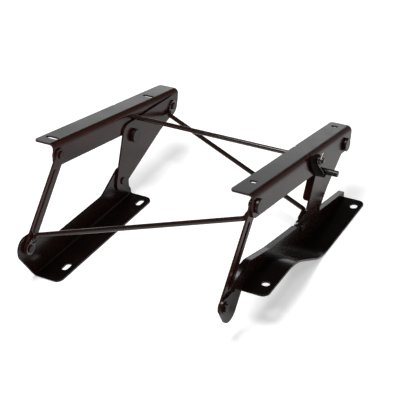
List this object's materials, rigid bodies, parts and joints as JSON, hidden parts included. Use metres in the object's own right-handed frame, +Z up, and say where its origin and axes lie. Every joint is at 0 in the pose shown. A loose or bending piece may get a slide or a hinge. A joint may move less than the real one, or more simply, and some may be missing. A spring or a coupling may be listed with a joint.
{
  "type": "seat riser",
  "caption": "Tip-forward seat riser of pressed steel rails, links and plates, tied by bent round rods, with a hook latch.",
  "frame": {"origin": "middle of the left base's slot line, on the underside of its flange", "axes": "+X across to the right unit, +Y to the rear along the bases, +Z up"},
  "size_m": [0.419, 0.5028, 0.1966],
  "materials": {
    "dark_paint": "glossy brown-black paint",
    "rivet_paint": "glossy brown-black paint",
    "black_steel": "satin black"
  },
  "bodies": {
    "base": {"left_base": "dark_paint", "right_base": "dark_paint"},
    "rear_frame": {"left_rear_plate": "dark_paint", "right_rear_plate": "dark_paint", "rear_tie_rod": "dark_paint", "striker_pin": "black_steel", "stop_stud": "dark_paint", "left_upper_rear_rivet": "rivet_paint", "right_upper_rear_rivet": "rivet_paint", "left_lower_rear_rivet": "rivet_paint", "right_lower_rear_rivet": "rivet_paint"},
    "front_frame": {"left_front_link": "dark_paint", "right_front_link": "dark_paint", "front_tie_rod": "dark_paint", "left_upper_front_rivet": "rivet_paint", "right_upper_front_rivet": "rivet_paint", "left_lower_front_rivet": "rivet_paint", "right_lower_front_rivet": "rivet_paint"},
    "top_frame": {"left_top_rail": "dark_paint", "right_top_rail": "dark_paint"},
    "latch": {"latch_shaft": "dark_paint", "latch_hook": "dark_paint", "latch_spring": "black_steel", "left_push_nut": "black_steel", "right_push_nut": "black_steel"}
  },
  "joints": [
    {"name": "rear_frame_swing", "type": "hinge", "parent": "base", "child": "rear_frame", "pos_m": [0.139, 0.1055, 0.043], "axis": [1, 0, 0], "range_deg": [0, 40]},
    {"name": "front_frame_swing", "type": "hinge", "parent": "base", "child": "front_frame", "pos_m": [0.139, -0.1675, 0.0603], "axis": [1, 0, 0], "range_deg": [0, 36.74]},
    {"name": "top_frame_pivot", "type": "hinge", "parent": "rear_frame", "child": "top_frame", "pos_m": [0.139, 0.28245, 0.11192], "axis": [1, 0, 0], "range_deg": [-30.14, 0]},
    {"name": "latch_pivot", "type": "hinge", "parent": "top_frame", "child": "latch", "pos_m": [0.139, 0.15154, 0.14541], "axis": [1, 0, 0], "range_deg": [-100, 0]}
  ],
  "couplings": [
    {"joint": "front_frame_swing", "follows": "rear_frame_swing", "ratio": 0.9184},
    {"joint": "top_frame_pivot", "follows": "rear_frame_swing", "ratio": -0.7533},
    {"joint": "latch_pivot", "follows": "rear_frame_swing", "ratio": -2.5}
  ]
}
